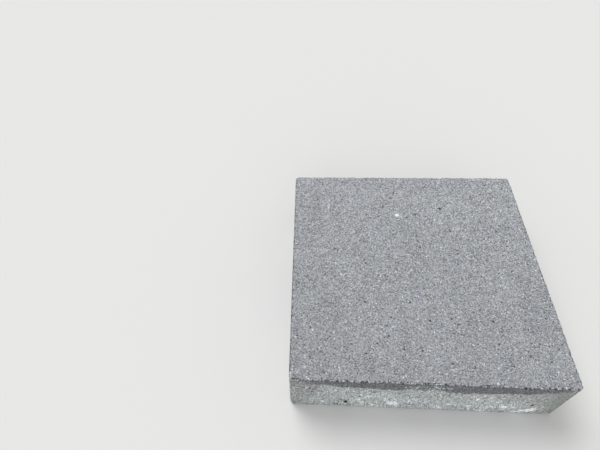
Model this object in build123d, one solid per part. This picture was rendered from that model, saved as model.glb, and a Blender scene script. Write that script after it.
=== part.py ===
from build123d import *
import os

# A square paving stone of pressed concrete, lying as it is laid, with its wearing face up.
# Millimetres, +Z up. The origin is the centre of the bed face. X runs along the front side
# face, and +Y points from the front side face to the back one.

# The laying grid: a stone and its share of the joints round it
GRID_LENGTH = 300.0    # along X, from the middle of one joint to the middle of the next
GRID_WIDTH = 300.0     # along Y, likewise
JOINT_GAP = 2.0        # the open joint between two stones laid side by side

# The stone
THICKNESS = 80.0       # bed face to wearing face
CORNER_RADIUS = 5.0    # upright corners, as the mould box rounds them
ARRIS_RADIUS = 0.8     # the nearly sharp rim of the wearing face, where the stamp pressed it
BED_RADIUS = 1.5       # the looser rim of the bed face, where the mix lay on its board

STONE_LENGTH = GRID_LENGTH - JOINT_GAP
STONE_WIDTH = GRID_WIDTH - JOINT_GAP


def mould_outline():
    """The plan of the mould's cell: a rectangle with rounded corners."""
    return RectangleRounded(STONE_LENGTH, STONE_WIDTH, CORNER_RADIUS)


def paving_stone():
    """The block as it leaves the mould: upright sides, with the rims of both faces eased."""
    block = extrude(mould_outline(), amount=THICKNESS)
    wearing_face = block.faces().sort_by(Axis.Z)[-1]
    block = fillet(wearing_face.edges(), ARRIS_RADIUS)
    bed_face = block.faces().sort_by(Axis.Z)[0]
    block = fillet(bed_face.edges(), BED_RADIUS)
    return block


os.makedirs("parts", exist_ok=True)
stone = paving_stone()
export_step(stone, "parts/paving_stone.step")
print("paving_stone", stone.bounding_box().size, round(stone.volume), "mm3")
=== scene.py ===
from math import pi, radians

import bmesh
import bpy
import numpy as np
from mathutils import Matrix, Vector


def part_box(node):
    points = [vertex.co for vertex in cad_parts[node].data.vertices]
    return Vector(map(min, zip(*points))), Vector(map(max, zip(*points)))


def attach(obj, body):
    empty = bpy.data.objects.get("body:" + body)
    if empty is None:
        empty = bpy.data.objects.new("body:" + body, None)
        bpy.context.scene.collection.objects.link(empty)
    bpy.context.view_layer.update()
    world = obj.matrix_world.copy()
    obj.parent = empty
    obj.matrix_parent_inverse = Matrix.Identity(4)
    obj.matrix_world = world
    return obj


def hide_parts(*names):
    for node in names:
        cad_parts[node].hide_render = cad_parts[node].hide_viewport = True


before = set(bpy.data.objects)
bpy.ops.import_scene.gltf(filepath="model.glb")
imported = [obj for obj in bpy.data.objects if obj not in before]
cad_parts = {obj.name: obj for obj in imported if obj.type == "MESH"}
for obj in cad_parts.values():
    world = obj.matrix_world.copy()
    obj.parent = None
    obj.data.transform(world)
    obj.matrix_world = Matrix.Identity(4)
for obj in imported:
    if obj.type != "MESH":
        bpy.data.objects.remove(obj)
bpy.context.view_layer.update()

# %% [markdown]
# # A pressed concrete paving stone
# The stone comes out of a steel mould. A core mix of gravel, sand and cement goes in first, a
# fine facing mix goes on top of it, and a stamp presses and shakes both until they stand by
# themselves. So its shape is a plain block, and all of its character is in the surface: grains
# on the wearing face, a crumbly arris, a dark facing band along the sides and a paler core
# below it with pores and lime bloom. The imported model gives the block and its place. This
# notebook makes the skin.

MM = 0.001
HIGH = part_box("paving_stone")[1]
HALF_LENGTH, HALF_WIDTH, HEIGHT = (round(side / MM, 3) for side in HIGH)
print("block", 2 * HALF_LENGTH, 2 * HALF_WIDTH, HEIGHT, "mm")

# %% [markdown]
# ## Shorthand for node trees
# A surface like concrete is a sum of many small patterns. Written link by link, such a sum
# fills pages, so a socket is wrapped in a small class that turns Python's operators into Math
# nodes. The same class serves the shader trees and the Geometry Nodes trees, because both
# have the Math node.

# %% Sockets that can be added and multiplied
SEED_STRIDE = 417.3   # how far off, in mm, the next seed takes a pattern


class Value:
    """A socket of a node tree. Sums, products and powers of it add Math nodes."""

    def __init__(self, bench, socket):
        self.bench = bench
        self.socket = socket

    def __add__(self, other):
        return self.bench.math("ADD", self, other)

    def __sub__(self, other):
        return self.bench.math("SUBTRACT", self, other)

    def __mul__(self, other):
        return self.bench.math("MULTIPLY", self, other)

    def __truediv__(self, other):
        return self.bench.math("DIVIDE", self, other)

    def __radd__(self, other):
        return self.bench.math("ADD", other, self)

    def __rsub__(self, other):
        return self.bench.math("SUBTRACT", other, self)

    def __rmul__(self, other):
        return self.bench.math("MULTIPLY", other, self)

    def __rtruediv__(self, other):
        return self.bench.math("DIVIDE", other, self)

    def __pow__(self, other):
        return self.bench.math("POWER", self, other)


class Bench:
    """A node tree and the ways in which this notebook adds nodes to it."""

    def __init__(self, tree):
        self.tree = tree
        tree.nodes.clear()

    def node(self, kind, settings=(), sockets=()):
        """A new node: its settings are set first, then its sockets are filled or linked."""
        made = self.tree.nodes.new(kind)
        for name, value in dict(settings).items():
            setattr(made, name, value)
        for key, value in dict(sockets).items():
            self.feed(made.inputs[key], value)
        return made

    def feed(self, target, value):
        """Links a wrapped socket to an input, or writes a plain value on it."""
        if isinstance(value, Value):
            self.tree.links.new(value.socket, target)
        elif target.type == "RGBA":
            target.default_value = (*value, 1.0)
        elif target.type == "VECTOR" and isinstance(value, (int, float)):
            target.default_value = (value, value, value)
        else:
            target.default_value = value

    def out(self, made, key=0):
        """The wrapped output of a node."""
        return Value(self, made.outputs[key])

    def math(self, operation, *terms):
        """A Math node with these terms."""
        sockets = dict(enumerate(terms))
        return self.out(self.node("ShaderNodeMath", {"operation": operation}, sockets))

    def step(self, value, start, end):
        """0 where value is under start, 1 over end, and a smooth rise between them."""
        sockets = {"Value": value, "From Min": start, "From Max": end}
        settings = {"interpolation_type": "SMOOTHSTEP"}
        return self.out(self.node("ShaderNodeMapRange", settings, sockets))

    def mix(self, factor, first, second):
        """Two colours mixed by a factor."""
        made = self.node("ShaderNodeMix", {"data_type": "RGBA"})
        by_type = [s for s in made.inputs if s.enabled]
        for target, value in zip(by_type, (factor, first, second)):
            self.feed(target, value)
        return Value(self, next(s for s in made.outputs if s.enabled))

    def noise(self, place, size, detail=2.0, roughness=0.5, seed=0.0):
        """Cloudy noise from 0 to 1, whose patches are about size across."""
        sockets = {"Vector": self.shift(place, seed), "Scale": 1 / size, "Detail": detail}
        sockets["Roughness"] = roughness
        return self.out(self.node("ShaderNodeTexNoise", (), sockets))

    def uneven(self, place, size, detail=2.0, roughness=0.5, seed=0.0):
        """The same noise from -0.5 to 0.5."""
        return self.noise(place, size, detail, roughness, seed) - 0.5

    def cells(self, place, size, seed=0.0):
        """Voronoi cells about size across: the distance to the middle of the cell, in place's
        own unit, and three random values of the cell."""
        sockets = {"Vector": self.shift(place, seed), "Scale": 1 / size}
        made = self.node("ShaderNodeTexVoronoi", (), sockets)
        return self.out(made, "Distance") * size, self.split(self.out(made, "Color"))

    def shift(self, place, seed):
        """Place moved far off by a seed, so that two patterns differ."""
        return self.vector("ADD", place, seed * SEED_STRIDE)

    def vector(self, operation, *terms):
        """A Vector Math node with these terms."""
        sockets = dict(enumerate(terms))
        return self.out(self.node("ShaderNodeVectorMath", {"operation": operation}, sockets))

    def scale(self, place, factor):
        """A vector times a number."""
        sockets = {0: place, "Scale": factor}
        return self.out(self.node("ShaderNodeVectorMath", {"operation": "SCALE"}, sockets))

    def split(self, place):
        """The three parts of a vector."""
        parts = self.node("ShaderNodeSeparateXYZ", (), {0: place})
        return [self.out(parts, axis) for axis in range(3)]

    def join(self, x, y, z):
        """A vector from its three parts."""
        return self.out(self.node("ShaderNodeCombineXYZ", (), {"X": x, "Y": y, "Z": z}))


# %% [markdown]
# ## Camera
# The view looks down on the stone from a little over half a metre above the floor. The camera
# is placed by its eye point and three turns: its heading from +Y to the left, its tilt below
# the horizon and its roll. A small shift brings the front right corner into the frame.

# %% Camera
EYE = (-0.1308, -0.3251, 0.5601)   # in metres
HEADING = radians(6.89)
TILT = radians(51.14)
ROLL = radians(-4.66)
FRAME_WIDTH_PX = 600
FOCAL_PX = 460.8
SENSOR_MM = 36.0
SHIFT_X = 0.045
NEAREST = 0.01


def placed(name, data):
    """A new object in the scene."""
    made = bpy.data.objects.new(name, data)
    bpy.context.scene.collection.objects.link(made)
    return made


def make_camera():
    """The scene's camera, at the eye point."""
    lens = bpy.data.cameras.new("view")
    lens.sensor_width = SENSOR_MM
    lens.lens = FOCAL_PX / FRAME_WIDTH_PX * SENSOR_MM
    lens.shift_x = SHIFT_X
    lens.clip_start = NEAREST
    camera = placed("view", lens)
    turn = Matrix.Rotation(HEADING, 4, "Z") @ Matrix.Rotation(pi / 2 - TILT, 4, "X")
    camera.matrix_world = Matrix.Translation(EYE) @ turn @ Matrix.Rotation(ROLL, 4, "Z")
    bpy.context.scene.camera = camera
    return lens


print("lens", round(make_camera().lens, 2), "mm")

# %% [markdown]
# ## Pits and pores
# Here and there an air bubble or a lost grain leaves a pit a few millimetres wide. On the
# sides a pit is taller than it is wide, since the mould wall drags it as it is drawn off. The
# pits that show on the wearing face and the front side are set down one by one, because they
# are what the eye uses to tell one stone from the next. Sides that the view doesn't reach get
# a few of their own at random. The list comes before the mesh, because the net has to be fine
# where a pit is to be cut. A pit gets painted shade too, but a wide bite out of the foot doesn't.

# %% The larger pits, in mm
SEED = 7
rng = np.random.default_rng(SEED)
TOP_PITS = (
    (8, -76, 1.8), (46, 91, 2.2), (53, 53, 1.7), (-29, 93, 1.6), (11, 26, 1.7), (12, 80, 1.5),
    (-63, -54, 1.7), (-11, -53, 1.7), (-35, -73, 1.4), (-25, -111, 1.5), (-53, -105, 1.3),
    (-40, -96, 1.5), (86, -126, 1.1), (106, -109, 1.1), (126, -120, 1.1), (-96, 22, 1.2),
    (88, 8, 1.1), (-118, 106, 1.2), (104, 117, 1.3), (-84, -13, 1.0),
)   # x and y on the wearing face, and the radius
FRONT_PORES = (
    (-85, 16, 1.75), (117, 28, 1.3), (-97, 8, 0.9), (-94, 8, 0.8), (-124, 45, 0.7), (-126, 56, 0.6),
    (-112, 19, 0.7), (-129, 3, 0.9), (-71, 35, 0.7), (-13, 15, 0.8), (-9, 14, 0.9), (18, 10, 0.7),
    (62, 51, 0.7), (91, 2, 1.0), (-87, 0, 3.0), (142, 0, 5.0),
)   # along the front and up it, and the radius; the last two are bites out of the foot
LARGEST_PIT = 2.5   # a wider one is a bite out of the foot
FRONT_STRETCH = 2.2   # how many times taller than wide the front side's pores are
OTHER_STRETCH = 1.4
OTHER_PORES = 6   # on each side that the view doesn't reach
OTHER_RADII = (0.9, 1.7)
OTHER_ALONG = 0.9   # how far along half of the side, at most
OTHER_UP = (0.05, 0.75)   # how far up, as shares of the height


def on_side(side, along, up):
    """A place on a side: 0 front, 1 right, 2 back, 3 left."""
    front, right = (along, -HALF_WIDTH), (HALF_LENGTH, along)
    back, left = (-along, HALF_WIDTH), (-HALF_LENGTH, -along)
    return (*(front, right, back, left)[side], up)


def all_pits():
    """Every larger pit as its middle, its radius and how many times taller it is than wide."""
    pits = [(x, y, HEIGHT, radius, 1.0) for x, y, radius in TOP_PITS]
    pits += [(*on_side(0, x, z), radius, FRONT_STRETCH) for x, z, radius in FRONT_PORES]
    for side in (1, 2, 3):
        for _ in range(OTHER_PORES):
            along = rng.uniform(-OTHER_ALONG, OTHER_ALONG) * HALF_WIDTH
            up = rng.uniform(*OTHER_UP) * HEIGHT
            pits.append((*on_side(side, along, up), rng.uniform(*OTHER_RADII), OTHER_STRETCH))
    return np.array(pits)


def pit_distance(points, middle, stretch):
    """How far each point is from a pit's middle, measured as if the pit were as tall as wide."""
    apart = points - middle
    apart[:, 2] /= stretch
    return np.linalg.norm(apart, axis=1)


PITS = all_pits()
print(len(PITS), "pits")

# %% [markdown]
# ## The blank
# The blank is the block as a net of small faces, ready to take relief. A net that is evenly
# fine would need a million faces, since the crumbly arris wants half a millimetre and the bed
# nearly nothing. So a coarse net is halved again and again, each time only where its faces are
# larger than their place needs. Halving leaves no gap, because a face beside a halved one gets
# the new point too. Corners and rims are rounded at the end by functions of place, so they
# come out round however fine the net is there.

# %% Places on the block
CORNER_RADIUS = 5.0
ARRIS_RADIUS = 0.8
BED_RADIUS = 1.5
PLAN = np.array([HALF_LENGTH, HALF_WIDTH])
TINY = 1e-9   # keeps a length that is divided by from being 0


def corner_square(plan):
    """How far each plan point reaches into its corner square, 0 outside it."""
    return np.maximum(np.abs(plan) - (PLAN - CORNER_RADIUS), 0.0)


def outward(plan):
    """The outline's outward direction nearest to each plan point."""
    reach = corner_square(plan)
    corner = (reach > 0).all(axis=1)[:, None]
    flat = np.eye(2)[(np.abs(plan) - PLAN).argmax(axis=1)]
    way = np.where(corner, reach, flat) * np.sign(plan)
    return way / np.maximum(np.hypot(way[:, 0], way[:, 1]), TINY)[:, None]


def inset_of(plan):
    """The distance from each plan point in to the outline."""
    over = np.abs(plan) - (PLAN - CORNER_RADIUS)
    far = np.hypot(*np.maximum(over, 0.0).T)
    return CORNER_RADIUS - far - np.minimum(over.max(axis=1), 0.0)


print("from the middle to the outline", inset_of(np.zeros((1, 2)))[0], "mm")

# %% How fine the net has to be, in mm
COARSE_PITCH = 8.0
FACE_PITCH = 2.0
RIM_PITCH = 1.0
ARRIS_PITCH = 0.5
RIM_BAND = 5.5
BED_BAND = 5.0
ARRIS_BAND = 2.6
PIT_BAND = 0.8


def pitch_needed(points):
    """How fine the net has to be at each point of the block."""
    gaps = PLAN - np.abs(points[:, :2])
    inset, to_corner = gaps.min(axis=1), gaps.max(axis=1)
    to_arris = np.maximum(HEIGHT - points[:, 2], inset)
    to_bed_rim = np.maximum(points[:, 2], inset)
    above = points[:, 2] > 0
    need = np.where(above, FACE_PITCH, COARSE_PITCH)
    rim = (to_arris < RIM_BAND) | (to_bed_rim < BED_BAND) | (above & (to_corner < RIM_BAND))
    need = np.where(rim, RIM_PITCH, need)
    fine = to_arris < ARRIS_BAND
    for *middle, radius, stretch in PITS:
        fine |= pit_distance(points, middle, stretch) < radius + PIT_BAND
    return np.where(fine, ARRIS_PITCH, need)


for name, spot in {"bed": (0, 0, 0), "arris": (0, -HALF_WIDTH, HEIGHT)}.items():
    print("net on the", name, pitch_needed(np.array([spot], float))[0], "mm")

# %% Halve the net
LEVEL = 1.0   # an edge whose ends differ by less than this along an axis lies across it


def coarse_net():
    """The block with square corners, in coarse faces."""
    net = bmesh.new()
    bmesh.ops.create_cube(net, size=1.0)
    sides = (2 * HALF_LENGTH, 2 * HALF_WIDTH, HEIGHT)
    lift = Vector((0, 0, HEIGHT / 2))
    for point in net.verts:
        point.co = Vector([c * side for c, side in zip(point.co, sides)]) + lift
    for axis, side in enumerate(sides):
        along = [e for e in net.edges if abs(e.verts[0].co[axis] - e.verts[1].co[axis]) > LEVEL]
        cuts = round(side / COARSE_PITCH) - 1
        bmesh.ops.subdivide_edges(net, edges=along, cuts=cuts, use_grid_fill=True)
    return net


def halve(net, size):
    """Halves the faces of this size that are too large for their place."""
    net.faces.index_update()
    middles = np.array([face.calc_center_median() for face in net.faces])
    large = set(np.flatnonzero(pitch_needed(middles) < size).tolist())
    edges = [e for e in net.edges if any(face.index in large for face in e.link_faces)]
    bmesh.ops.subdivide_edges(net, edges=edges, cuts=1, use_grid_fill=True)


def positions(mesh):
    """The mesh's points in mm."""
    points = np.empty(len(mesh.vertices) * 3, np.float32)
    mesh.vertices.foreach_get("co", points)
    return points.reshape(-1, 3).astype(float)


def halved_mesh():
    """The whole net, still with square corners, in mm."""
    net = coarse_net()
    size = COARSE_PITCH
    while size > ARRIS_PITCH:
        halve(net, size)
        size /= 2
    mesh = bpy.data.meshes.new("blank")
    net.to_mesh(mesh)
    net.free()
    return mesh


def triangles_of(mesh):
    """How many triangles the mesh's faces make."""
    return sum(len(face.vertices) - 2 for face in mesh.polygons)


blank = halved_mesh()
print("net", len(blank.vertices), "points", triangles_of(blank), "triangles")

# %% Round it
SHAKE = 0.2
ON_FACE = 0.001   # a point nearer to a face than this lies on it
OFF_RIM = 0.9   # and it is loose if it is further than this from every other face


def shaken(points):
    """Points inside a face moved a little along it, so that the net's rows don't show."""
    upright = np.minimum(points[:, 2], HEIGHT - points[:, 2])
    gaps = np.column_stack([PLAN - np.abs(points[:, :2]), upright])
    held = gaps < ON_FACE
    loose = (held.sum(axis=1) == 1) & (np.where(held, HEIGHT, gaps).min(axis=1) > OFF_RIM)
    move = rng.uniform(-SHAKE, SHAKE, points.shape) * pitch_needed(points)[:, None]
    return points + np.where(held | ~loose[:, None], 0.0, move)


def bend_square(reach):
    """Points of a square moved so that the square becomes a quarter disc."""
    far = np.hypot(reach[:, 0], reach[:, 1])
    return reach * (reach.max(axis=1) / np.maximum(far, TINY))[:, None]


def round_corners(plan):
    """The plan with its four corner squares bent into quarter discs."""
    reach = corner_square(plan)
    inside = (reach > 0).all(axis=1)[:, None]
    return plan + np.where(inside, (bend_square(reach) - reach) * np.sign(plan), 0.0)


def ease_rims(points):
    """The two horizontal rims bent into quarter rounds."""
    way, inset = outward(points[:, :2]), inset_of(points[:, :2])
    for level, up, radius in ((HEIGHT, 1.0, ARRIS_RADIUS), (0.0, -1.0, BED_RADIUS)):
        reach = radius - np.stack([inset, (level - points[:, 2]) * up], axis=1)
        inside = (reach > 0).all(axis=1)[:, None]
        moved = np.where(inside, bend_square(np.maximum(reach, 0.0)) - reach, 0.0)
        points[:, :2] += way * moved[:, :1]
        points[:, 2] += moved[:, 1] * up
    return points


points = shaken(positions(blank))
points[:, :2] = round_corners(points[:, :2])
points = ease_rims(points)
blank.vertices.foreach_set("co", (points * MM).astype(np.float32).ravel())
blank.update()
print("blank", points.min(axis=0).round(2), points.max(axis=0).round(2), "mm")

# %% [markdown]
# ## What each part of the skin is
# The mould treats each face in its own way, so every point of the blank is told where it is:
# how near it lies to the arris round the wearing face, to the rim round the bed and to an
# upright corner, how deep the facing mix reaches down there and how much of it shows, and how
# much lime has bloomed on it. These are stored as attributes of the mesh. The relief and the
# material both read them, so a pore that is cut into the side also gets painted shade, and
# the facing ends where its colour ends.

# %% Facing depth round the stone
FRONT_FACING = (
    (-149, 11, 0.0), (-138, 11, 0.2), (-130, 12, 0.6), (-120, 13, 0.8), (-105, 14, 0.85),
    (-84, 18, 1.0), (-70, 17, 1.0), (-49, 19, 1.0), (-34, 19, 0.9), (-22, 18, 0.62),
    (-6, 17, 0.5), (10, 17, 0.48), (19, 19, 0.7), (28, 21, 1.0), (46, 21, 1.0), (65, 21, 1.0),
    (95, 18, 1.0), (112, 16, 1.0), (125, 12, 0.9), (134, 8, 0.6), (141, 6, 0.1), (149, 5, 0.0),
)   # along the front, in mm from its middle: the depth of the facing and how much of it shows
FACING_STOPS = 13
USUAL_DEPTH = 14.0
DEPTH_SPREAD = 3.0
DEPTH_LIMITS = (7.0, 19.0)
FULL_SHARE = 1.15   # over 1, so that some stops are covered whole
SHARE_SPREAD = 0.45
CORNER_SHARE = 0.1


def other_facing():
    """Depth and share of the facing along a side that the view doesn't reach."""
    stops = np.linspace(-HALF_LENGTH, HALF_LENGTH, FACING_STOPS)
    depth = USUAL_DEPTH + DEPTH_SPREAD * rng.standard_normal(FACING_STOPS)
    missing = SHARE_SPREAD * np.abs(rng.standard_normal(FACING_STOPS))
    share = np.clip(FULL_SHARE - missing, 0, 1)
    share[[0, -1]] = CORNER_SHARE
    return np.column_stack([stops, np.clip(depth, *DEPTH_LIMITS), share])


FACING = [np.array(FRONT_FACING), other_facing(), other_facing(), other_facing()]


def sides_of(points):
    """For each point the nearest side, 0 front to 3 left, and its place along that side."""
    x, y = points[:, 0], points[:, 1]
    way = outward(points[:, :2])
    scores = np.stack([-way[:, 1], way[:, 0], way[:, 1], -way[:, 0]], axis=1)
    side = scores.argmax(axis=1)
    return side, np.choose(side, [x, y, -x, -y])


def facing_of(points):
    """The facing's depth and share at each point."""
    side, along = sides_of(points)
    depth = [np.interp(along, stops[:, 0], stops[:, 1]) for stops in FACING]
    share = [np.interp(along, stops[:, 0], stops[:, 2]) for stops in FACING]
    return np.choose(side, depth), np.choose(side, share)


print("facing depth on the four sides", *[stops[:, 1].mean().round(1) for stops in FACING], "mm")

# %% Lime bloom
FRONT_BLOOM = (
    (-125, 17, 3, 4, 0.7), (-111, 15, 3, 3, 0.8), (-98, 57, 3, 3, 0.4), (-77, 19, 2, 4, 0.7),
    (-71, 27, 3, 4, 0.9), (-67, 17, 4, 4, 0.9), (-72, 42, 12, 8, 0.3), (-61, 37, 2, 4, 0.6),
    (-54, 7, 6, 5, 0.7), (-45, 1, 5, 5, 0.65), (-45, 44, 12, 9, 0.35), (-38, 30, 4, 6, 0.4),
    (-37, 17, 4, 5, 0.7), (-32, 18, 5, 6, 0.75), (-28, 15, 4, 5, 0.7), (-10, 31, 2, 3, 0.6),
    (-12, 8, 12, 7, 0.3), (2, 26, 2, 3, 0.6), (14, 10, 14, 9, 0.35), (21, 10, 5, 5, 0.6),
    (16, 38, 14, 12, 0.3), (29, 22, 3, 4, 0.9), (51, 19, 5, 4, 0.9), (55, 42, 4, 4, 0.8),
    (59, 27, 3, 3, 0.7), (67, 30, 3, 3, 0.8), (70, 42, 2, 5, 0.8), (78, 35, 2, 3, 1.0),
    (67, 5, 4, 3, 0.7), (72, 5, 3, 3, 0.6), (70, 16, 4, 3, 0.8), (76, 19, 4, 3, 0.65),
    (90, 20, 7, 4, 1.0), (101, 19, 3, 3, 0.9), (106, 5, 7, 4, 0.75), (112, 11, 4, 4, 0.8),
    (119, 12, 4, 5, 1.0), (122, 17, 3, 4, 0.9), (118, 13, 13, 9, 0.35),
)   # along the front and up it, half the length and height of each bloom, and its strength
OTHER_BLOOMS = 11
BLOOM_ALONG = 0.85   # how far along half of the side, at most
BLOOM_HEIGHT = 7.0   # they lie twice as high as this on average
BLOOM_LENGTHS = (5.0, 16.0)   # half of each bloom's length
BLOOM_SLIMNESS = (0.4, 0.8)   # height over length
BLOOM_STRENGTHS = (0.35, 0.75)


def other_blooms():
    """Blooms on a side that the view doesn't reach: low down, where water ran and dried."""
    along = rng.uniform(-BLOOM_ALONG, BLOOM_ALONG, OTHER_BLOOMS) * HALF_LENGTH
    up = rng.gamma(2.0, BLOOM_HEIGHT, OTHER_BLOOMS)
    long = rng.uniform(*BLOOM_LENGTHS, OTHER_BLOOMS)
    strength = rng.uniform(*BLOOM_STRENGTHS, OTHER_BLOOMS)
    tall = long * rng.uniform(*BLOOM_SLIMNESS, OTHER_BLOOMS)
    return np.column_stack([along, up, long, tall, strength])


BLOOMS = [np.array(FRONT_BLOOM), other_blooms(), other_blooms(), other_blooms()]
print("blooms on the four sides", *[len(blooms) for blooms in BLOOMS])


def bloom_of(points, spread):
    """How much lime has bloomed at each point, from 0 to 1, with each bloom spread out."""
    side, along = sides_of(points)
    total = np.zeros(len(points))
    for number, blooms in enumerate(BLOOMS):
        for middle, up, long, tall, strength in blooms:
            far = ((along - middle) / long) ** 2 + ((points[:, 2] - up) / tall) ** 2
            total += np.where(side == number, strength * np.exp(-far / spread ** 2), 0.0)
    return np.clip(total, 0, 1)


# %% Store it on the blank
HAZE_SPREAD = 2.8   # how far each bloom's haze spreads, as a multiple of the bloom
HAZE_SHARE = 0.42
PRESS_RADIUS = 5.0   # within this of a rim the direction turns, in mm
NO_PIT = 9.0   # so many radii from a pit's middle nothing of the pit is left
WEARING_FADE = 0.7   # how far below its level the wearing face's look fades out, in mm
BED_FADE = 1.2
COLD_BAND = 25.0   # how far the film, with its painted shade, reaches beside the left corners, in mm
COLD_FOOT = 0.6   # times this at the foot
COLD_RISE = 1.6   # and this much more at the arris
WARM_BAND = 42.0   # how far the film, with its painted shade, reaches beside the right corners
FILM_FULL = 1.2   # over 1, so that the film is whole in the first part of its reach


def write_attribute(mesh, name, values):
    """One number for each point of a mesh."""
    layer = mesh.attributes.new(name, "FLOAT", "POINT")
    layer.data.foreach_set("value", np.asarray(values, np.float32))


def press_way(points):
    """The direction out of the stone at each point. It turns gently round the rims, so that
    points which are pressed inwards there don't cross."""
    level = np.array([0.0, HEIGHT])[:, None]
    reach = np.maximum(PRESS_RADIUS - np.abs(level - points[:, 2]), 0.0)
    out = np.maximum(PRESS_RADIUS - inset_of(points[:, :2]), 0.0)[:, None]
    way = np.column_stack([outward(points[:, :2]) * out, reach[1] - reach[0]])
    return way / np.linalg.norm(way, axis=1)[:, None]


def nearest_pit(points):
    """The distance to the nearest pit's middle, as a share of its radius, and that radius."""
    share, nearest = np.full(len(points), NO_PIT), np.ones(len(points))
    for *middle, radius, stretch in PITS:
        here = pit_distance(points, middle, stretch) / radius
        nearest = np.where(here < share, radius, nearest)
        share = np.minimum(here, share)
    return share, nearest


def film_and_shade_of(points):
    """How thick the film of fines and its painted shade lie by the upright corners, 0 to 1."""
    gaps = PLAN - np.abs(points[:, :2])
    cold = COLD_BAND * (COLD_FOOT + COLD_RISE * points[:, 2] / HEIGHT)
    reach = cold + (WARM_BAND - cold) * (points[:, 0] / HALF_LENGTH + 1) / 2
    return np.clip(FILM_FULL - gaps.max(axis=1) / reach, 0, 1)


def describe(mesh, points):
    """Writes what each part of the blank's skin is."""
    inset = inset_of(points[:, :2])
    depth, share = facing_of(points)
    pit_share, pit_radius = nearest_pit(points)
    numbers = {
        "to_arris": np.maximum(HEIGHT - points[:, 2], inset),
        "to_bed_rim": np.maximum(points[:, 2], inset),
        "wearing": np.clip(1 - (HEIGHT - points[:, 2]) / WEARING_FADE, 0, 1),
        "bed": np.clip(1 - points[:, 2] / BED_FADE, 0, 1),
        "upright": film_and_shade_of(points),
        "facing_depth": depth,
        "facing_share": share,
        "bloom": bloom_of(points, 1.0),
        "haze": bloom_of(points, HAZE_SPREAD) * HAZE_SHARE,
        "pit_share": pit_share,
        "pit_radius": pit_radius,
    }
    for name, values in numbers.items():
        write_attribute(mesh, name, values)
    layer = mesh.attributes.new("press_way", "FLOAT_VECTOR", "POINT")
    layer.data.foreach_set("vector", press_way(points).astype(np.float32).ravel())
    return numbers


print("stored", *describe(blank, points))

# %% [markdown]
# ## The concrete itself
# One material serves the whole stone, because the stone is one casting. It has to show five
# looks: the wearing face, the facing band on the sides, the core, the film of fines that the
# core gets beside the upright corners, darker there as painted shade too, and the lime bloom. A
# painted image could not be reused at another size, so the looks are sums of noise in real
# millimetres, and the attributes on the mesh say which look holds where. The wearing face has
# specks, single pale and dark grains, clouds, and faint streaks that run the way the mould was
# filled. On the sides the patterns are stretched upwards, as the mould wall drags the paste.
# What is too fine for the net, down to half a millimetre, is bump.

# %% Colours, as linear light
FACING_TOP = (0.338, 0.353, 0.373)
FACING_SIDE = (0.143, 0.150, 0.159)
CORE = (0.384, 0.410, 0.414)
LIME = (0.92, 0.97, 0.975)
# the two film colours are darker than the core: partly the film of fines, partly painted shade
# towards the upright corners
COLD_FILM_AND_SHADE = (0.285, 0.294, 0.293)
WARM_FILM_AND_SHADE = (0.239, 0.257, 0.240)
# the dark of the painted shade in pits and in the arris's notches
PAINTED_SHADE = (0.03, 0.031, 0.034)
print("the core is", round(CORE[1] / FACING_SIDE[1], 1), "times as pale as the facing band")

# %% Sand and cement paste
SAND_SIZE = 0.85   # the sizes of all patterns are in mm
DUST_SIZE = 0.5
SAND_TONE = 0.95   # how strongly each pattern changes the tone
DUST_TONE = 0.6
PASTE_TONE = 0.8
PALE_TONE = 0.95
DARK_TONE = 0.7
RARE = (0.9, 0.95)   # a grain whose random value is above this is a pale or a dark one
SAND_HEIGHT = 0.22   # how high each pattern stands, in mm
PASTE_HEIGHT = 0.16
DUST_HEIGHT = 0.1


def stored(bench, name):
    """A number from the mesh, in a shader tree."""
    return bench.out(bench.node("ShaderNodeAttribute", {"attribute_name": name}), "Fac")


def sand_tones(bench, place):
    """The uneven tones of sand grains, 0 on average, and the height of the grains in mm."""
    far, lots = bench.cells(place, SAND_SIZE)
    tiny_far, tiny_lots = bench.cells(place, DUST_SIZE, seed=5.0)
    paste = bench.noise(place, DUST_SIZE, 2.0, 0.6)
    tone = SAND_TONE * (lots[0] - 0.5) + DUST_TONE * (tiny_lots[0] - 0.5)
    tone = tone + PASTE_TONE * (paste - 0.5)
    tone = tone + PALE_TONE * bench.step(lots[1], *RARE) - DARK_TONE * bench.step(lots[2], *RARE)
    height = SAND_HEIGHT * (1 - far / SAND_SIZE) + PASTE_HEIGHT * paste
    return tone, height + DUST_HEIGHT * (1 - tiny_far / DUST_SIZE)


print("bump up to", round(SAND_HEIGHT + PASTE_HEIGHT + DUST_HEIGHT, 2), "mm high")

# %% Specks and single grains on the wearing face
SPECKS = ((7.0, 71.0, 1.1), (7.5, 73.0, -1.3))   # the spacing, seed and tone of each kind
SPECK_RIM = (0.6, 1.5)   # a speck fades out between these two radii
LONE_SIZE = 1.9
LONE_RIM = (0.5, 0.95)
LONE_PALE = (0.973, 0.977)   # a grain whose random value is above this is very pale
LONE_DARK = (0.010, 0.012)   # and one below this is very dark
FLECKS = ((-12, 78.5, 3.3), (129, -131, 1.2), (130, -125, 0.85), (97, -116, 0.9), (66, -144, 0.75))


def specked(bench, place, tone):
    """The tone with specks up to three millimetres wide, one to a cell, most of them faint."""
    for spacing, seed, change in SPECKS:
        far, lots = bench.cells(place, spacing, seed)
        tone = tone + change * ((1 - bench.step(far, *SPECK_RIM)) * lots[0] ** 2)
    return tone


def lone_grains(bench, place):
    """Single grains, more than a millimetre wide: a few very pale and a few very dark ones."""
    far, lots = bench.cells(place, LONE_SIZE, seed=83.0)
    pale = bench.step(lots[0], *LONE_PALE) * (0.6 + 1.2 * lots[1])
    dark = (1 - bench.step(lots[0], *LONE_DARK)) * (0.5 + 0.4 * lots[1])
    return (1 - bench.step(far, *LONE_RIM)) * (pale - dark)


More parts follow.
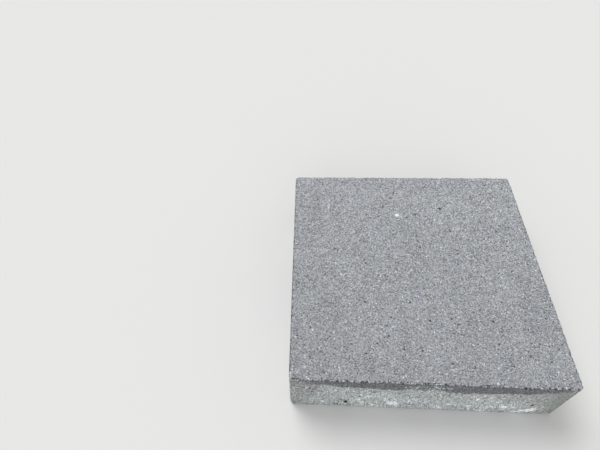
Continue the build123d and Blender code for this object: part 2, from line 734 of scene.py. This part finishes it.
def fleck_mask(bench, place):
    """Single white grains, each of them at its place."""
    found = 0.0
    for x, y, radius in FLECKS:
        sockets = {0: place, 1: (x, y, HEIGHT)}
        far = bench.node("ShaderNodeVectorMath", {"operation": "DISTANCE"}, sockets)
        near = 1 - bench.step(bench.out(far, "Value"), radius * 0.5, radius)
        found = bench.math("MAXIMUM", found, near)
    return found


print(len(FLECKS), "white grains")

# %% The core's gravel
GRAVEL_SIZE = 3.0
PORE_SIZE = 1.4
GRAVEL_TONE = 0.22
GAP_SHADE = 0.1
PEBBLE_TONE = 0.16
PORE_SHADE = 0.6


def gravel_tones(bench, place):
    """Tones of the core's coarser gravel, 0 on average, with painted shade in gaps and pores."""
    far, lots = bench.cells(place, GRAVEL_SIZE, seed=41.0)
    gaps = bench.step(far, 0.45 * GRAVEL_SIZE, 0.7 * GRAVEL_SIZE)
    pores = bench.step(bench.noise(place, PORE_SIZE, 2.0, 0.6, seed=37.0), 0.63, 0.68)
    # the gaps between the pebbles and the pores are painted darker: painted shade in voids that the
    # relief doesn't cut
    tone = GRAVEL_TONE * (lots[0] - 0.5) - GAP_SHADE * (gaps - 0.4)
    return tone + PEBBLE_TONE * bench.step(lots[1], 0.86, 0.92) - PORE_SHADE * pores


# %% Where the facing ends
TALL = (1.0, 1.0, 0.4)   # place times this makes a pattern taller than it is wide
BEND_SIZE = 14.0   # the line bends, is drawn out into tongues, and is rough
BEND_DEPTH = 9.0
TONGUE_SIZE = 2.6
TONGUE_DEPTH = 14.0
ROUGH_SIZE = 1.2
ROUGH_DEPTH = 9.0
LINE_RIM = (-1.2, 1.4)   # and it is soft over these mm
PATCH_SIZE = 1.7
ARRIS_SHADE_BAND = (3.0, 8.0)   # just below the arris the facing shows with fewer holes: a painted line of shade under the crumbled arris


def facing_mask(bench, place, side):
    """Where the facing mix shows on the sides: down to a ragged line, and in patches there."""
    tall = bench.vector("MULTIPLY", place, TALL)
    ragged = BEND_DEPTH * bench.uneven(place, BEND_SIZE, 1.0, seed=6.0)
    ragged = ragged + TONGUE_DEPTH * bench.uneven(tall, TONGUE_SIZE, 3.0, 0.6, seed=9.0)
    ragged = ragged + ROUGH_DEPTH * bench.uneven(tall, ROUGH_SIZE, 1.0, seed=12.0)
    up = bench.split(place)[2]
    above = up - HEIGHT + stored(bench, "facing_depth") + ragged
    patches = bench.noise(tall, PATCH_SIZE, 1.0, seed=17.0)
    # near the arris the dark facing shows more fully, as a painted line of shade under the crumbled
    # arris
    share = stored(bench, "facing_share") * (1.6 - 0.6 * bench.step(HEIGHT - up, *ARRIS_SHADE_BAND))
    shows = bench.step(patches, 0.70 - share * 0.5, 0.74 - share * 0.5)
    return side * bench.step(above, *LINE_RIM) * shows


# %% What lies on the core
FILM_SIZE = 6.0
THICKEST_FILM = 0.85
LIME_SIZE = 2.8
LIME_LONG = (0.75, 0.75, 1.0)   # place times this makes a pattern longer than it is tall
LIME_RIM = (0.0, 0.12)


def film_and_shade_mask(bench, place, side):
    """Where the film of fines and its painted shade lie: in patches, and thickest high up."""
    patchy = 0.45 + 0.8 * bench.noise(place, FILM_SIZE, seed=19.0)
    film = stored(bench, "upright") * side * patchy
    film = film * (0.8 + 0.4 * bench.split(place)[2] / HEIGHT)
    return bench.math("MINIMUM", film, THICKEST_FILM)


def lime_mask(bench, place):
    """Where lime has dried on the core, in ragged bits."""
    long = bench.vector("MULTIPLY", place, LIME_LONG)
    ragged = bench.noise(long, LIME_SIZE, 3.0, 0.7, seed=31.0)
    return bench.step(0.75 * stored(bench, "bloom") + 2.0 * ragged - 1.4, *LIME_RIM)


# %% The core's colour
SMEAR_SIZE = 11.0
SMEAR_TONE = 0.22
DARKEST_CORE = 0.12
HAZE_MIX = 0.5
LIME_MIX = 0.95
WARM_TURN = (-10.0, 10.0)   # where along the stone the film's colour turns warmer


def core_colour(bench, place, dragged, tone, film):
    """Gravelly concrete under a haze of lime, the film of fines with painted shade, and lime bloom.
    """
    open_tone = tone + gravel_tones(bench, dragged)
    smear = bench.uneven(place, SMEAR_SIZE, seed=13.0)
    shade = bench.math("MAXIMUM", 1 + open_tone + SMEAR_TONE * smear, DARKEST_CORE)
    core = bench.scale(CORE, shade)
    hazy = bench.scale(LIME, 0.85 + 0.9 * open_tone)
    core = bench.mix(stored(bench, "haze") * HAZE_MIX, core, hazy)
    warm = bench.step(bench.split(place)[0], *WARM_TURN)
    # the film's colour is partly the film of fines, partly painted shade of the corners
    film_and_shade_colour = bench.mix(warm, COLD_FILM_AND_SHADE, WARM_FILM_AND_SHADE)
    core = bench.mix(film, core, bench.scale(film_and_shade_colour, 1 + (1.25 - 0.75 * warm) * tone))
    lime = bench.scale(LIME, 0.97 + 0.35 * tone)
    return bench.mix(lime_mask(bench, place) * LIME_MIX, core, lime)


# %% The wearing face's colour
CLOUD_SIZE = 55.0
CLOUD_TONE = 0.24
STREAK_SIZE = 14.0
STREAK_TONE = 0.2
LENGTHWISE = (1.0, 0.06, 1.0)   # place times this makes a pattern long along Y
TINT_SIZE = 9.0
RED_TINT = 0.05
BLUE_TINT = 0.1
MEAN_CONTRAST = 1.08
BACK_CONTRAST = 0.24   # so much more of it at the back, and so much less at the front
# the wearing face is painted a little paler towards the back: a painted sheen
PAINTED_BACK_SHEEN = 0.04
DARKEST_FACE = 0.1
PALEST_FACE = 2.6


def wearing_colour(bench, place, tone):
    """Sandy facing mix: specks, single grains, clouds, streaks, a faint tint, painted sheen."""
    back = bench.split(place)[1] / HALF_WIDTH
    tone = specked(bench, place, tone * (MEAN_CONTRAST + BACK_CONTRAST * back))
    tone = tone + lone_grains(bench, place)
    cloud = bench.uneven(place, CLOUD_SIZE, seed=3.0)
    lengthwise = bench.vector("MULTIPLY", place, LENGTHWISE)
    streaks = bench.uneven(lengthwise, STREAK_SIZE, 1.0, seed=67.0)
    # the last term paints a sheen, paler towards the back
    shade = 1 + tone + CLOUD_TONE * cloud + STREAK_TONE * streaks + PAINTED_BACK_SHEEN * back
    shade = bench.math("MINIMUM", bench.math("MAXIMUM", shade, DARKEST_FACE), PALEST_FACE)
    tint = bench.uneven(place, TINT_SIZE, seed=61.0)
    tinted = bench.join(1 - RED_TINT * tint, 1.0, 1 + BLUE_TINT * tint)
    return bench.scale(bench.vector("MULTIPLY", FACING_TOP, tinted), shade)


# %% The material
DRAG = 0.45   # how much the mould wall has drawn out the patterns of the sides
FACING_TONE = 0.95
FLECK_MIX = 0.9
NOTCH_SHADE_MIX = 0.7
FACING_SMOOTHS = 0.6   # how much the facing takes off the height of the grains
FILM_SMOOTHS = 0.5


def new_material(name):
    """A material, the bench for its tree, and the place on the stone in mm."""
    material = bpy.data.materials.new(name)
    material.use_nodes = True
    bench = Bench(material.node_tree)
    place = bench.scale(bench.out(bench.node("ShaderNodeTexCoord"), "Object"), 1 / MM)
    return material, bench, place


def finish_surface(bench, colour, height, roughness, gloss):
    """Closes a material's tree. The height of the bump is in mm."""
    bump = bench.node("ShaderNodeBump", (), {"Height": height, "Distance": MM, "Strength": 1.0})
    sockets = {"Base Color": colour, "Roughness": roughness, "Specular IOR Level": gloss}
    sockets["Normal"] = bench.out(bump)
    shader = bench.node("ShaderNodeBsdfPrincipled", (), sockets)
    bench.node("ShaderNodeOutputMaterial", (), {"Surface": bench.out(shader)})


def concrete_material():
    """The stone's material."""
    material, bench, place = new_material("pressed_concrete")
    wearing, bed = stored(bench, "wearing"), stored(bench, "bed")
    side = bench.math("MAXIMUM", 1 - wearing - bed, 0.0)
    x, y, z = bench.split(place)
    dragged = bench.join(x, y, (z - HEIGHT) * (1 - DRAG * (1 - wearing)))
    tone, height = sand_tones(bench, dragged)
    facing, film = facing_mask(bench, place, side), film_and_shade_mask(bench, place, side)
    core = core_colour(bench, place, dragged, tone, film)
    thin = 1.2 - 0.2 * stored(bench, "facing_share")
    colour = bench.mix(facing, core, bench.scale(FACING_SIDE, thin * (1 + FACING_TONE * tone)))
    colour = bench.mix(wearing, colour, wearing_colour(bench, place, tone))
    colour = bench.mix(fleck_mask(bench, place) * FLECK_MIX, colour, LIME)
    # painted shade in the notches of the crumbled arris
    colour = bench.mix(bench.step(stored(bench, "notch_shade"), 0.1, 0.8) * NOTCH_SHADE_MIX, colour, PAINTED_SHADE)
    # painted shade in the pits, a little stronger on the sides
    pit = bench.step(stored(bench, "pit"), 0.1, 0.7) * (0.85 + 0.15 * side)
    colour = bench.mix(pit, colour, PAINTED_SHADE)
    height = height * (1 - FACING_SMOOTHS * facing) * (1 - FILM_SMOOTHS * film)
    finish_surface(bench, colour, height, roughness=0.92, gloss=0.35)
    return material


concrete = concrete_material()
print("material", len(concrete.node_tree.nodes), "nodes")

# %% [markdown]
# ## Relief
# Concrete is never flat. The wearing face is a bed of sand grains with small pits between them,
# the facing on the sides is smooth from the mould wall, the core below it is more open, and
# both rims crumble. Sculpting this by hand would be endless, and bump alone would leave the
# outline straight as a ruler, so the net's points are moved inwards by noise. Geometry Nodes
# do it, because their noise and Voronoi textures work on all points at once. Everything moves
# inwards, so the highest grains just reach the mould's face.

# %% Sizes of the relief, in mm
RELIEF = {
    "Grain Size": 2.4,
    "Grain Relief": 0.36,
    "Core Relief": 0.5,
    "Bed Relief": 1.0,
    "Pit Depth": 0.9,
    "Arris Wear": 2.2,
    "Chip Wear": 1.8,
    "Bed Wear": 3.0,
}
FACING_RELIEF = 0.25
SWELL_RELIEF = 0.2
PIT_RAGGED = 1.1   # in radii of the pit
CRUMBLE_SIZE = 2.8   # how large each pattern is
CHIP_SIZE = 9.0
GNAW_SIZE = 4.5
FINE_SIZE = 2.6
RAGGED_SIZE = 1.4
HOLLOW_SIZE = 22.0
SWELL_SIZE = 45.0
CRUMBLE_REACH = 2.6   # how far each kind of wear reaches from its rim
CHIP_REACH = 4.0
NOTCH_REACH = 1.2
FOOT_REACH = 2.5
GNAW_REACH = 5.0
print("a chip is up to", RELIEF["Chip Wear"], "mm deep")

# %% The relief tree


def group_sockets(tree, sizes):
    """The group's own inputs and output."""
    kind = "NodeSocketGeometry"
    tree.interface.new_socket(name="Geometry", in_out="INPUT", socket_type=kind)
    tree.interface.new_socket(name="Geometry", in_out="OUTPUT", socket_type=kind)
    for name, size in sizes.items():
        made = tree.interface.new_socket(name=name, in_out="INPUT", socket_type="NodeSocketFloat")
        made.default_value = size


def named(bench, name, kind="FLOAT"):
    """A number or a vector that was stored on the mesh."""
    made = bench.node("GeometryNodeInputNamedAttribute", {"data_type": kind}, {"Name": name})
    return bench.out(made, "Attribute")


def hump(bench, value, width):
    """1 where value is 0, falling to 0 where it reaches width."""
    return bench.math("MAXIMUM", 1 - value / width, 0.0) ** 1.5


def rim_wear(bench, size, place):
    """How far the two rims have crumbled, in mm, and where the arris is notched, for painted shade.
    """
    to_arris, to_bed_rim = named(bench, "to_arris"), named(bench, "to_bed_rim")
    crumble = bench.step(bench.noise(place, CRUMBLE_SIZE, 2.0, 0.6, seed=11.0), 0.46, 0.61)
    chips = bench.step(bench.noise(place, CHIP_SIZE, seed=23.0), 0.58, 0.69)
    arris = crumble * hump(bench, to_arris, CRUMBLE_REACH) * size["Arris Wear"]
    arris = arris + chips * hump(bench, to_arris, CHIP_REACH) * size["Chip Wear"]
    notch = crumble * (1 - bench.step(to_arris, NOTCH_REACH, CRUMBLE_REACH))
    gnawed = bench.step(bench.noise(place, GNAW_SIZE, 2.0, 0.6, seed=51.0), 0.53, 0.66)
    foot = crumble * hump(bench, to_bed_rim, FOOT_REACH) * 0.2
    foot = foot + gnawed * hump(bench, to_bed_rim, GNAW_REACH)
    return arris + foot * size["Bed Wear"], notch


def pit_masks(bench, place, side):
    """Where a pit is cut, and where painted shade darkens it, a little wider on the sides."""
    reach = named(bench, "pit_share") + PIT_RAGGED * bench.uneven(place, RAGGED_SIZE, seed=29.0)
    pit = 1 - bench.step(reach, 0.45, 1.0)
    painted_pit_shade = bench.math("MAXIMUM", pit, side * (1 - bench.step(reach, 0.9, 1.1)))
    large = bench.step(named(bench, "pit_radius"), LARGEST_PIT, LARGEST_PIT + 0.3)
    return pit, painted_pit_shade * (1 - large)


def relief_depth(bench, given, place):
    """How far each point moves inwards, in mm, and where pits and notches get painted shade."""
    size = {name: bench.out(given, name) for name in RELIEF}
    wearing, bed = named(bench, "wearing"), named(bench, "bed")
    side = bench.math("MAXIMUM", 1 - wearing - bed, 0.0)
    edge = HEIGHT - named(bench, "facing_depth")
    facing = side * bench.step(bench.split(place)[2], edge - 1, edge + 1)
    core = side - facing
    far, _ = bench.cells(place, size["Grain Size"])
    fine = bench.noise(place, FINE_SIZE, 3.0, 0.6)
    grain = 0.6 * far / size["Grain Size"] + 0.8 * (fine - 0.3)
    hollow = bench.noise(place, HOLLOW_SIZE, seed=43.0) - 0.3
    depth = wearing * size["Grain Relief"] * grain + facing * FACING_RELIEF * (fine - 0.3)
    depth = depth + core * size["Core Relief"] * grain + bed * size["Bed Relief"] * hollow
    depth = depth + SWELL_RELIEF * (bench.noise(place, SWELL_SIZE, 1.0) - 0.35)
    depth = bench.math("MAXIMUM", depth, 0.0)
    pit, painted_pit_shade = pit_masks(bench, place, side)
    wear, notch = rim_wear(bench, size, place)
    depth = depth + pit * named(bench, "pit_radius") * size["Pit Depth"] + wear
    return depth, {"pit": painted_pit_shade, "notch_shade": notch}


def store(bench, geometry, name, value, domain="POINT"):
    """Geometry with one more attribute."""
    settings = {"data_type": "FLOAT", "domain": domain}
    sockets = {"Geometry": geometry, "Name": name, "Value": value}
    return bench.out(bench.node("GeometryNodeStoreNamedAttribute", settings, sockets))


def finish_tree(bench, geometry, material):
    """Realizes the instances, sets the material and closes the tree."""
    whole = bench.node("GeometryNodeRealizeInstances", (), {"Geometry": geometry})
    sockets = {"Geometry": bench.out(whole), "Material": material}
    dressed = bench.node("GeometryNodeSetMaterial", (), sockets)
    bench.node("NodeGroupOutput", (), {"Geometry": bench.out(dressed)})


def relief_tree():
    """Geometry Nodes that move the blank's points inwards."""
    tree = bpy.data.node_groups.new("pressed_relief", "GeometryNodeTree")
    bench = Bench(tree)
    group_sockets(tree, RELIEF)
    given = bench.node("NodeGroupInput")
    place = bench.scale(bench.out(bench.node("GeometryNodeInputPosition")), 1 / MM)
    depth, masks = relief_depth(bench, given, place)
    geometry = bench.out(given, "Geometry")
    for name, mask in masks.items():
        geometry = store(bench, geometry, name, mask)
    offset = bench.scale(named(bench, "press_way", "FLOAT_VECTOR"), depth * -MM)
    sockets = {"Geometry": geometry, "Offset": offset}
    moved = bench.node("GeometryNodeSetPosition", (), sockets)
    smooth = bench.node("GeometryNodeSetShadeSmooth", (), {"Geometry": bench.out(moved)})
    finish_tree(bench, bench.out(smooth), concrete)
    return tree


def grown(name, base, tree, sizes):
    """The mesh that a tree makes of a base mesh, as an object of its own."""
    carrier = placed(name, base)
    modifier = carrier.modifiers.new(name, "NODES")
    modifier.node_group = tree
    for item in tree.interface.items_tree:
        if item.in_out == "INPUT" and item.name in sizes:
            modifier[item.identifier] = sizes[item.name]
    bpy.context.view_layer.update()
    shown = carrier.evaluated_get(bpy.context.evaluated_depsgraph_get())
    mesh = bpy.data.meshes.new_from_object(shown)
    carrier.modifiers.remove(modifier)
    carrier.data = mesh
    mesh.name = name
    return carrier


def report(piece):
    """Prints a piece's size and how many triangles it has."""
    sides = [round(side / MM, 2) for side in piece.dimensions]
    print(piece.name, triangles_of(piece.data), "triangles, size", sides, "mm")


# %% Press the relief
stone = grown("paving_stone_body", blank, relief_tree(), RELIEF)
report(stone)
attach(stone, "root")
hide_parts("paving_stone")

# %% [markdown]
# ## Sand grains
# The facing mix is mostly sand, and its largest grains stand a little proud of the cement, most
# of all along the arris, where the paste has crumbled from between them. Bump can't cast their
# small shadows, and modelling some six thousand grains one by one is out of the question.
# Geometry Nodes scatter them: points on the stone's skin, a small many-sided ball on each,
# flattened and sunk by more than half, and a random tone that its material reads.

# %% Sizes of the sand in mm, and how many grains there are to a square mm
SAND = {
    "Spacing": 1.1,
    "Arris Density": 0.5,
    "Face Density": 0.07,
    "Core Density": 0.04,
    "Smallest": 0.32,
    "Largest": 0.72,
    "Flatness": 0.75,
    "Sunk": 0.35,
    "Ruggedness": 0.35,
}
SAND_SEED = 4
SAND_REACH = 2.5   # how far from the arris its own grains lie
ARRIS_GROWTH = 0.6   # how much larger the grains at the arris are
# the grains near the arris are painted paler: a painted highlight where they catch the light
ARRIS_HIGHLIGHT = 0.4
SLIMMEST = 0.65   # a grain's width over its length, at least
BUMPS_PER_MM = 1.3
PALE_SAND = (0.66, 0.68, 0.69)
DARK_SAND = (0.15, 0.155, 0.162)
print("grains", 2 * SAND["Smallest"], "to", 2 * SAND["Largest"], "mm long, and longer at the arris")

# %% The sand's material


def sand_material():
    """Quartz and basalt grains under a thin film of cement."""
    material, bench, place = new_material("bedded_sand")
    dust = bench.noise(place, DUST_SIZE, 2.0, 0.6)
    tone = stored(bench, "grain_tone") ** 0.8
    colour = bench.mix(tone, DARK_SAND, PALE_SAND)
    colour = bench.scale(colour, 0.7 + 0.6 * dust)
    finish_surface(bench, colour, DUST_HEIGHT * dust, roughness=0.8, gloss=0.4)
    return material


# %% Scattered points and a grain on each


def lot(bench, low, high, seed):
    """A random number for each grain."""
    made = bench.node("FunctionNodeRandomValue", {"data_type": "FLOAT"})
    sockets = [socket for socket in made.inputs if socket.enabled]
    for target, value in zip(sockets[:2], (low, high)):
        bench.feed(target, value)
    sockets[-1].default_value = seed
    return Value(bench, next(socket for socket in made.outputs if socket.enabled))


def scattered(bench, size, skin, near):
    """Points on the skin, closest together where near is 1."""
    wearing, bed = named(bench, "wearing"), named(bench, "bed")
    density = wearing * size["Face Density"] + (1 - wearing - bed) * size["Core Density"]
    density = density + near * size["Arris Density"]
    sockets = {"Mesh": skin, "Distance Min": size["Spacing"] * MM, "Seed": SAND_SEED}
    sockets["Density Max"] = size["Arris Density"] / MM / MM
    sockets["Density Factor"] = density / size["Arris Density"]
    settings = {"distribute_method": "POISSON"}
    return bench.node("GeometryNodeDistributePointsOnFaces", settings, sockets)


def bedded(bench, size, points, near):
    """A ball on each point, stretched, flattened, turned its own way and sunk."""
    radius = lot(bench, size["Smallest"], size["Largest"], 1) * (1 + ARRIS_GROWTH * near) * MM
    sockets = {"Geometry": bench.out(points, "Points")}
    sockets["Offset"] = bench.scale(bench.out(points, "Normal"), radius * size["Sunk"] * -1)
    sunk = bench.node("GeometryNodeSetPosition", (), sockets)
    ball = bench.node("GeometryNodeMeshIcoSphere", (), {"Radius": 1.0, "Subdivisions": 1})
    spin = bench.join(0.0, 0.0, lot(bench, 0.0, 2 * pi, 2))
    sockets = {"Rotation": bench.out(points, "Rotation"), "Rotate By": spin}
    turned = bench.node("FunctionNodeRotateRotation", {"rotation_space": "LOCAL"}, sockets)
    width = radius * lot(bench, SLIMMEST, 1.0, 3)
    stretch = bench.join(radius, width, radius * size["Flatness"])
    sockets = {"Points": bench.out(sunk), "Instance": bench.out(ball), "Scale": stretch}
    sockets["Rotation"] = bench.out(turned)
    return bench.out(bench.node("GeometryNodeInstanceOnPoints", (), sockets))


def rugged(bench, size, grains):
    """The grains as one mesh, made uneven and kept inside the block's own box."""
    whole = bench.out(bench.node("GeometryNodeRealizeInstances", (), {"Geometry": grains}))
    place = bench.scale(bench.out(bench.node("GeometryNodeInputPosition")), 1 / MM)
    sockets = {"Vector": place, "Scale": BUMPS_PER_MM, "Detail": 1.0}
    noise = bench.node("ShaderNodeTexNoise", (), sockets)
    bumps = bench.vector("SUBTRACT", bench.out(noise, "Color"), (0.5, 0.5, 0.5))
    place = bench.vector("ADD", place, bench.scale(bumps, size["Ruggedness"] * 2))
    place = bench.vector("MAXIMUM", place, (-HALF_LENGTH, -HALF_WIDTH, 0.0))
    place = bench.vector("MINIMUM", place, (HALF_LENGTH, HALF_WIDTH, HEIGHT))
    sockets = {"Geometry": whole, "Position": bench.scale(place, MM)}
    return bench.out(bench.node("GeometryNodeSetPosition", (), sockets))


# %% The scattering tree


def sand_tree():
    """Geometry Nodes that scatter grains over the stone's skin."""
    tree = bpy.data.node_groups.new("scattered_sand", "GeometryNodeTree")
    bench = Bench(tree)
    group_sockets(tree, SAND)
    given = bench.node("NodeGroupInput")
    size = {name: bench.out(given, name) for name in SAND}
    near = hump(bench, named(bench, "to_arris"), SAND_REACH)
    points = scattered(bench, size, bench.out(given, "Geometry"), near)
    grains = bedded(bench, size, points, near)
    # grains near the arris are painted paler as a painted highlight
    tone = bench.math("MINIMUM", lot(bench, 0.0, 1.0, 5) + ARRIS_HIGHLIGHT * near, 1.0)
    grains = store(bench, grains, "grain_tone", tone, "INSTANCE")
    finish_tree(bench, rugged(bench, size, grains), sand_material())
    return tree


# %% Scatter the sand
sand = grown("sand_grains", stone.data, sand_tree(), SAND)
report(sand)
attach(sand, "root")

# %% [markdown]
# ## Floor and light
# The stone lies on a plain pale floor. An even sky gives half of the light. The rest comes
# from two suns that are many degrees wide, so their shadows are soft: one high behind the
# stone and to the left, as under thin cloud, and a weak one low in front. Together they are
# as strong as makes a colour render as it is written. Suns are used and not lamps, because
# they light the floor evenly out to the horizon. The floor has no gloss and the camera sees
# the sky in the floor's own colour, so no horizon line shows behind the stone.

# %% Floor
FLOOR_HALF = 30.0   # in metres
FLOOR_COLOUR = (0.80, 0.80, 0.79)
FLOOR_ROUGHNESS = 0.9


def make_floor():
    """A wide plain floor under the stone."""
    corners = [(-1, -1), (1, -1), (1, 1), (-1, 1)]
    mesh = bpy.data.meshes.new("floor")
    mesh.from_pydata([(x * FLOOR_HALF, y * FLOOR_HALF, 0) for x, y in corners], [], [(0, 1, 2, 3)])
    material = bpy.data.materials.new("pale_floor")
    material.use_nodes = True
    shader = material.node_tree.nodes["Principled BSDF"]
    shader.inputs["Base Color"].default_value = (*FLOOR_COLOUR, 1.0)
    shader.inputs["Roughness"].default_value = FLOOR_ROUGHNESS
    shader.inputs["Specular IOR Level"].default_value = 0.0
    mesh.materials.append(material)
    floor = placed("floor", mesh)
    return floor


print("floor", make_floor().dimensions[0], "m wide")

# %% Light
SKY = 0.5
SUNS = {
    "key_sun": (Vector((-0.7, 0.9, 1.9)), 35, 1.5),
    "front_sun": (Vector((-0.1, -2.2, 0.95)), 60, 0.75),
}   # where each sun comes from, how many degrees wide it is, and its strength


def make_sky():
    """An even sky, which the camera sees as a pale backdrop."""
    world = bpy.data.worlds.new("sky")
    world.use_nodes = True
    bench = Bench(world.node_tree)
    rays = bench.node("ShaderNodeLightPath")
    seen = bench.out(rays, "Is Camera Ray") + bench.out(rays, "Is Glossy Ray")
    seen = bench.math("MINIMUM", seen + bench.out(rays, "Is Transmission Ray"), 1.0)
    light = bench.node("ShaderNodeBackground", (), {"Color": (1, 1, 1), "Strength": SKY})
    drop = bench.node("ShaderNodeBackground", (), {"Color": FLOOR_COLOUR, "Strength": 1.0})
    both = bench.node("ShaderNodeMixShader", (), {0: seen, 1: bench.out(light), 2: bench.out(drop)})
    bench.node("ShaderNodeOutputWorld", (), {"Surface": bench.out(both)})
    bpy.context.scene.world = world


def make_sun(name, source, width, strength):
    """A soft sun that shines from its source towards the stone."""
    sun = bpy.data.lights.new(name, "SUN")
    sun.angle = radians(width)
    sun.energy = strength
    holder = placed(name, sun)
    holder.location = source
    holder.rotation_euler = source.to_track_quat("Z", "Y").to_euler()
    return sun


make_sky()
for name, (source, width, strength) in SUNS.items():
    print(name, round(make_sun(name, source, width, strength).energy, 2))
bpy.context.scene.view_settings.view_transform = "Standard"
